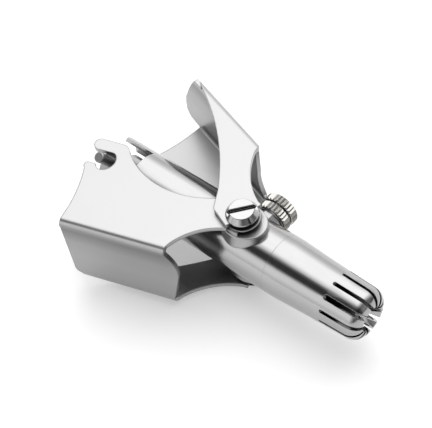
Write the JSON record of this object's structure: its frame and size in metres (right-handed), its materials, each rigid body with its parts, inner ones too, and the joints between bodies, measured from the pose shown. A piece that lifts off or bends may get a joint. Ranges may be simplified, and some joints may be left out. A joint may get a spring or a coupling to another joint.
{
  "type": "manual nose hair trimmer",
  "caption": "Hand-squeezed stainless steel nose hair trimmer: sheet levers turn a slotted cutter inside a slotted tube head.",
  "frame": {"origin": "middle of the bottom of the bounding box, with the trimmer lying on its side on the far pivot screw's side", "axes": "+X along the tube towards the cutting head, +Z along the lever pivot towards the near pivot screw, +Y towards the thumb screw and thumb lever"},
  "size_m": [0.0652, 0.0442, 0.0217],
  "materials": {
    "brushed_tube": "lengthwise brushed",
    "satin_boss": "satin",
    "polished_screw": "polished",
    "washer_steel": "satin",
    "knurled_nickel": "knurled nickel plate",
    "cutter_steel": "ground",
    "pin_steel": "ground end",
    "satin_sheet": "satin sheet",
    "spring_wire": "drawn wire"
  },
  "bodies": {
    "body": {"body_tube": "brushed_tube", "cutter_head": "brushed_tube", "near_pivot_boss": "satin_boss", "far_pivot_boss": "satin_boss", "near_pivot_screw": "polished_screw", "far_pivot_screw": "polished_screw", "near_spacer_washer": "washer_steel", "far_spacer_washer": "washer_steel", "thumb_screw_boss": "satin_boss", "thumb_screw_washer": "washer_steel", "return_spring": "spring_wire"},
    "finger_lever": {"finger_lever": "satin_sheet"},
    "thumb_lever": {"thumb_lever": "satin_sheet"},
    "cutter": {"inner_cutter": "cutter_steel", "crank_pin": "pin_steel"},
    "thumb_screw": {"thumb_screw": "knurled_nickel"}
  },
  "joints": [
    {"name": "finger_squeeze", "type": "hinge", "parent": "body", "child": "finger_lever", "pos_m": [0.00381, -0.00137, 0.01085], "axis": [0, 0, -1], "range_deg": [0, 15], "stiffness_Nm_per_rad": 0.08, "springref_deg": -28.65, "deforming": ["return_spring"]},
    {"name": "thumb_squeeze", "type": "hinge", "parent": "body", "child": "thumb_lever", "pos_m": [0.00381, -0.00137, 0.01085], "axis": [0, 0, 1], "range_deg": [0, 15]},
    {"name": "cutter_turn", "type": "hinge", "parent": "body", "child": "cutter", "pos_m": [-0.00619, -0.00137, 0.01085], "axis": [-1, 0, 0], "range_deg": [0, 56]},
    {"name": "thumb_screw_turn", "type": "hinge", "parent": "body", "child": "thumb_screw", "pos_m": [0.00381, 0.00763, 0.01085], "axis": [0, 1, 0], "continuous": true}
  ],
  "couplings": [
    {"joint": "thumb_squeeze", "follows": "finger_squeeze", "ratio": 1},
    {"joint": "cutter_turn", "follows": "finger_squeeze", "ratio": 3.73}
  ]
}
